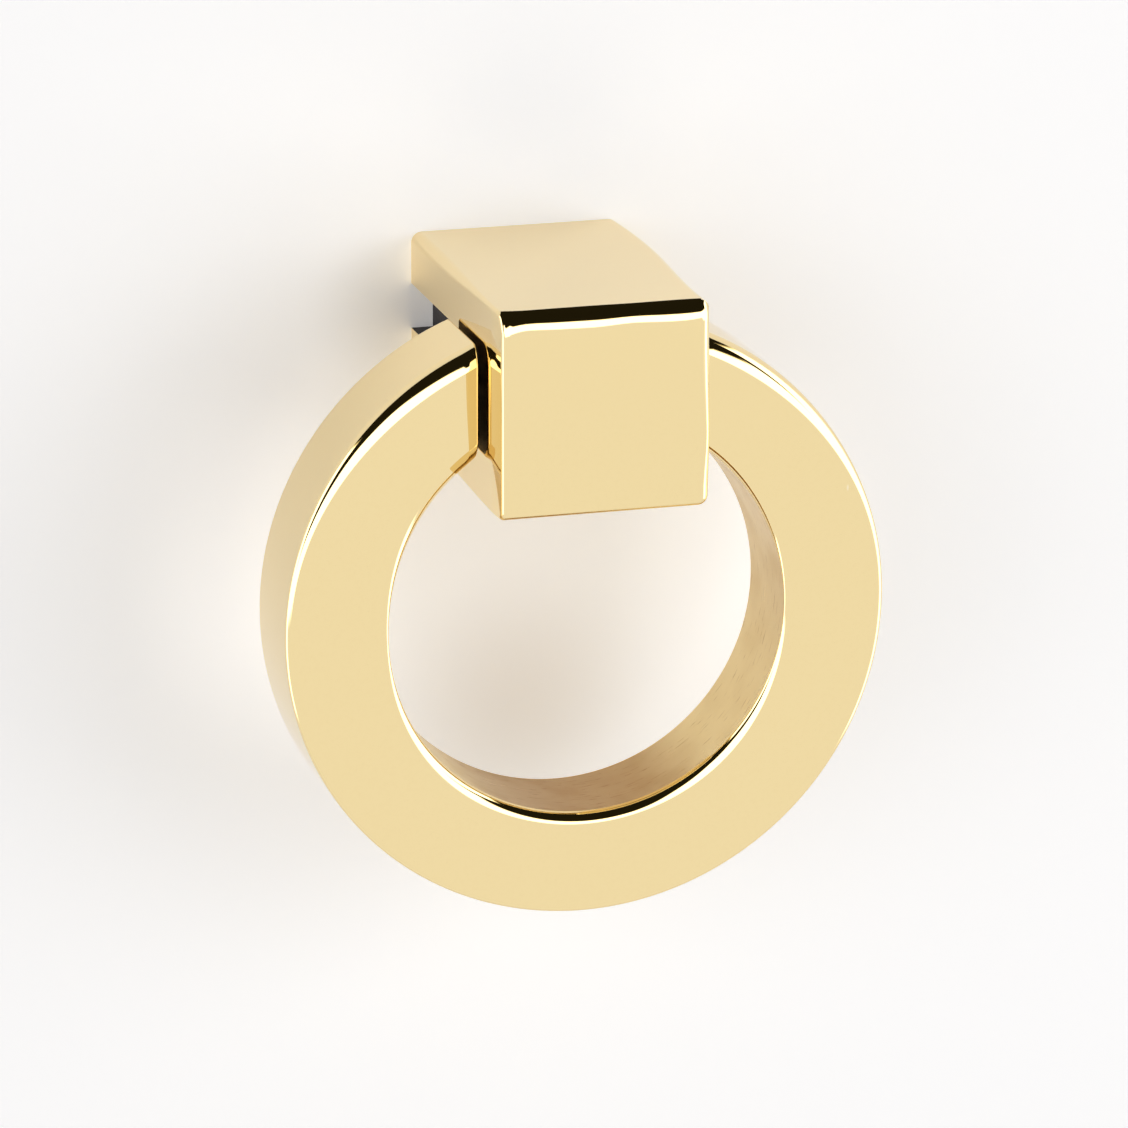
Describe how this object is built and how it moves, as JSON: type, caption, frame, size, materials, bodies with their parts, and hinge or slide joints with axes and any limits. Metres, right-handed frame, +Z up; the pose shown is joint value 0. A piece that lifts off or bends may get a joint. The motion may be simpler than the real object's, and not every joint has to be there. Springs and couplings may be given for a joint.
{
  "type": "ring pull handle",
  "caption": "Open brass ring hanging from a square post and swinging on a cross pin; pulls a drawer or cabinet door, held by a screw from behind.",
  "frame": {"origin": "middle of the post's rear face, at the mouth of the screw hole", "axes": "+Z up with the ring hanging, +Y into the door that the pull is fixed to, so the front faces -Y"},
  "size_m": [0.0508, 0.028, 0.053],
  "materials": {
    "post_brass": "mirror polished and lacquered",
    "ring_brass": "mirror polished and lacquered",
    "pin_steel": "ground steel"
  },
  "bodies": {
    "post_body": {"post": "post_brass", "pivot_pin": "pin_steel"},
    "ring_body": {"ring": "ring_brass"}
  },
  "joints": [
    {"name": "ring_swing", "type": "hinge", "parent": "post_body", "child": "ring_body", "pos_m": [0, -0.0184, 0], "axis": [-1, 0, 0], "range_deg": [-18, 198]}
  ]
}
